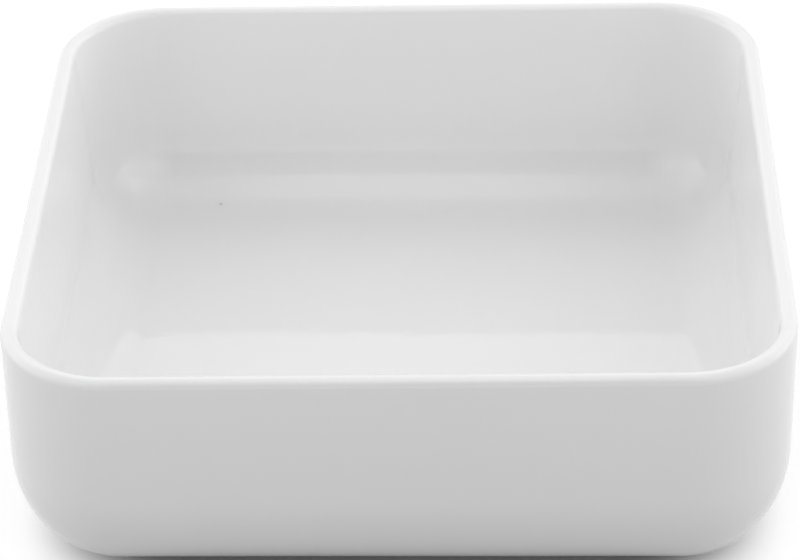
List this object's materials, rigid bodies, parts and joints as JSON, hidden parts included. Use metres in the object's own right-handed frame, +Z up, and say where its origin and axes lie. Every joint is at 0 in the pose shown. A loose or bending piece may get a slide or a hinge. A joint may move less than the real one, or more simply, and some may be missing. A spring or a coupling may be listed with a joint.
{
  "type": "serving bowl",
  "caption": "Square white porcelain serving bowl with round corners, near-upright walls, a rounded rim and a foot ring, for serving or dressing food at the table.",
  "frame": {"origin": "centre of the plane that the foot ring stands on", "axes": "+Z up, out of the bowl's mouth; X and Y square to the walls, with the wall that faces the viewer at -Y"},
  "size_m": [0.2, 0.2, 0.0667],
  "materials": {
    "bare_porcelain": "matte fired clay, fine grained, bare on the foot ring",
    "white_glaze": "glossy clear glaze over white porcelain",
    "underside_glaze": "glossy clear glaze, a little thinner and less even than on the coat"
  },
  "bodies": {
    "root": {"porcelain_body": "bare_porcelain", "glaze_coat": "white_glaze", "base_glaze": "underside_glaze"}
  },
  "joints": []
}
